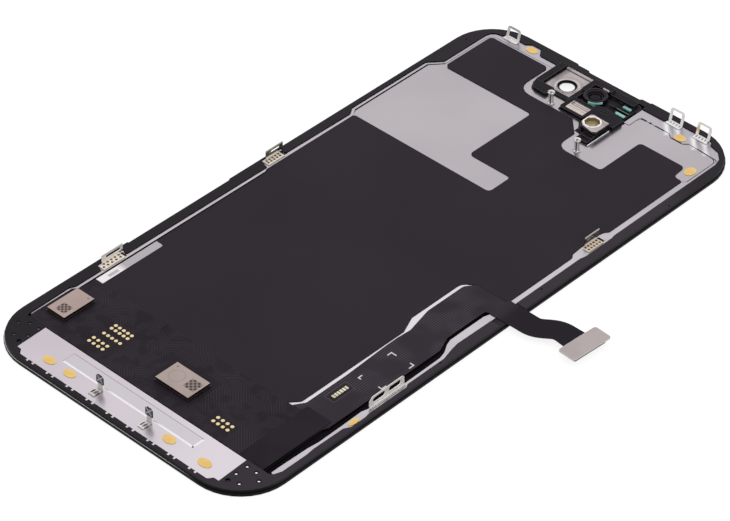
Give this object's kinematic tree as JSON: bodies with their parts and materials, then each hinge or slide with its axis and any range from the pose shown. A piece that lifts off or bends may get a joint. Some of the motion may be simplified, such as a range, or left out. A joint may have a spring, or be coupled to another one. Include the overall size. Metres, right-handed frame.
{
  "type": "phone display assembly",
  "caption": "Phone display module seen from its back: cover glass, bonded panel, moulded frame with a sensor bay, steel plates, flex circuit with tail and spring clips",
  "frame": {"origin": "middle of the front glass face, on which the module lies", "axes": "+X to the right when the back is seen with the sensor bay up, +Y along the length to the sensor bay, +Z from the front glass to the back"},
  "size_m": [0.086, 0.1446, 0.0049],
  "materials": {
    "cover_glass": "clear rim, black print behind the picture area",
    "display_panel": "smooth dark laminate",
    "black_plastic": "fine moulded satin",
    "seat_steel": "satin sheet steel",
    "holder_plastic": "fine moulded satin",
    "rail_steel": "satin stamped sheet steel",
    "plate_steel": "bead blasted sheet steel",
    "graphite": "dark graphite laminate",
    "black_flex": "coverlay with faint traces",
    "tape": "thin satin tape",
    "board": "coverlay with faint traces",
    "chip_can": "warm grey plated can",
    "pad_strip": "coverlay with rows of pale gold pads",
    "bottom_steel": "bead blasted sheet steel",
    "connector": "moulded with small gold contacts",
    "stiffener": "fine ground sheet steel",
    "bright_steel": "bright stamped sheet steel",
    "cup_plastic": "polished dark rim",
    "dark_lens": "dark polished lens",
    "flood_window": "pale striped metal",
    "projector_cover": "satin stamped sheet steel",
    "olive_glass": "coated olive filter glass",
    "teal_flex": "translucent teal laminate",
    "post_metal": "turned pin",
    "gold_spot": "soft gold plating"
  },
  "bodies": {
    "root": {"back_plate": "plate_steel", "bottom_plate": "bottom_steel", "camera_seat": "seat_steel", "contact_spot_bottom_1": "gold_spot", "contact_spot_bottom_2": "gold_spot", "contact_spot_bottom_3": "gold_spot", "contact_spot_bottom_4": "gold_spot", "contact_spot_right": "gold_spot", "contact_spot_top_left": "gold_spot", "contact_spot_top_right": "gold_spot", "contact_spot_upper_side": "gold_spot", "contact_spring_1": "bright_steel", "contact_spring_2": "bright_steel", "cover_glass": "cover_glass", "display_flex": "black_flex", "driver_board": "board", "driver_chip_left": "chip_can", "driver_chip_middle": "chip_can", "edge_rail_left": "rail_steel", "edge_rail_right": "rail_steel", "flood_window": "flood_window", "fold_tape": "tape", "graphite_film": "graphite", "hoop_clip_left": "bright_steel", "hoop_clip_middle": "bright_steel", "hoop_clip_right": "bright_steel", "infrared_cup": "cup_plastic", "infrared_lens": "dark_lens", "loop_bracket": "bright_steel", "moulded_frame": "black_plastic", "oled_panel": "display_panel", "pad_strip": "pad_strip", "projector_cover": "projector_cover", "projector_glass": "olive_glass", "sensor_holder": "holder_plastic", "side_clip_left": "bright_steel", "side_clip_low_left": "bright_steel", "side_clip_right": "bright_steel", "standoff_post_left": "post_metal", "standoff_post_right": "post_metal", "tail_connector": "connector", "tail_stiffener": "stiffener", "teal_flex_curve": "teal_flex", "teal_strip_lower": "teal_flex", "teal_strip_upper": "teal_flex"}
  },
  "joints": []
}
